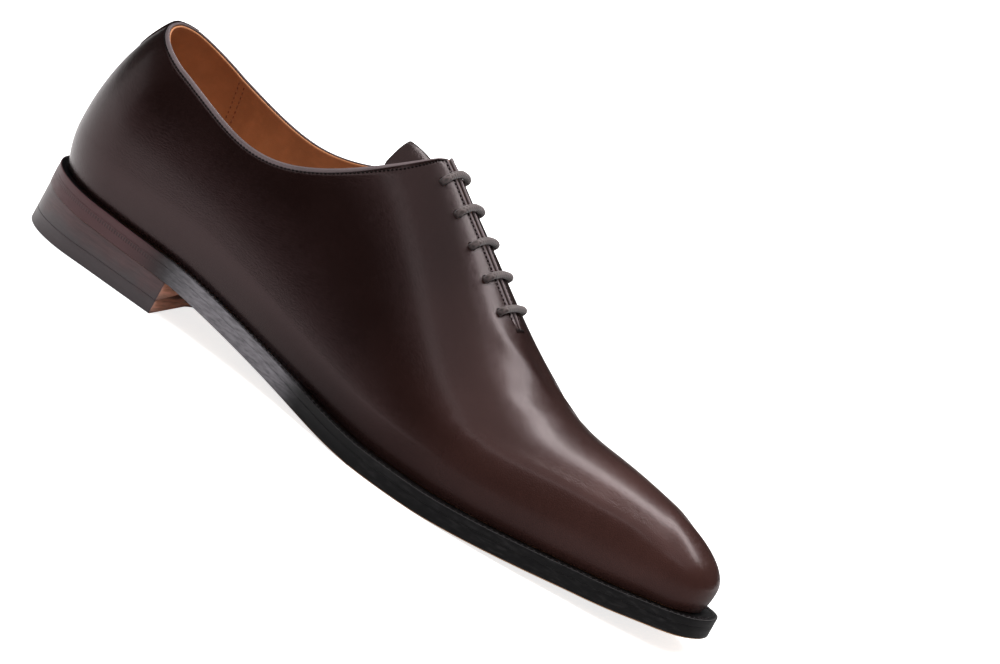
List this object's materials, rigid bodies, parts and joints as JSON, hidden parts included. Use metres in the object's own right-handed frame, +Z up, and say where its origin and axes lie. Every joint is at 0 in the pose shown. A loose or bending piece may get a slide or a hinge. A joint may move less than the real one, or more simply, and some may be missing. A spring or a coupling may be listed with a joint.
{
  "type": "whole cut oxford shoe",
  "caption": "Right whole cut oxford with a one-piece leather upper, closed lacing, slim leather sole, low stacked heel and softly chiselled toe",
  "frame": {"origin": "middle of the heel on the floor plane", "axes": "+X toward the toe, +Y toward the inner side of the foot, +Z up"},
  "size_m": [0.308, 0.0999, 0.1021],
  "materials": {
    "upper_leather": "polished calf",
    "tongue_leather": "polished calf",
    "tab_leather": "polished calf",
    "lace_cord": "waxed cotton",
    "sock_leather": "plain tan",
    "welt_leather": "black edge dressing",
    "sole_leather": "black edge dressing",
    "heel_leather": "burnished stack",
    "top_piece_rubber": "satin"
  },
  "bodies": {
    "root": {"upper": "upper_leather", "tongue": "tongue_leather", "back_tab": "tab_leather", "lace": "lace_cord", "insole": "sock_leather", "welt": "welt_leather", "outsole": "sole_leather", "heel_stack": "heel_leather", "top_piece": "top_piece_rubber"}
  },
  "joints": []
}
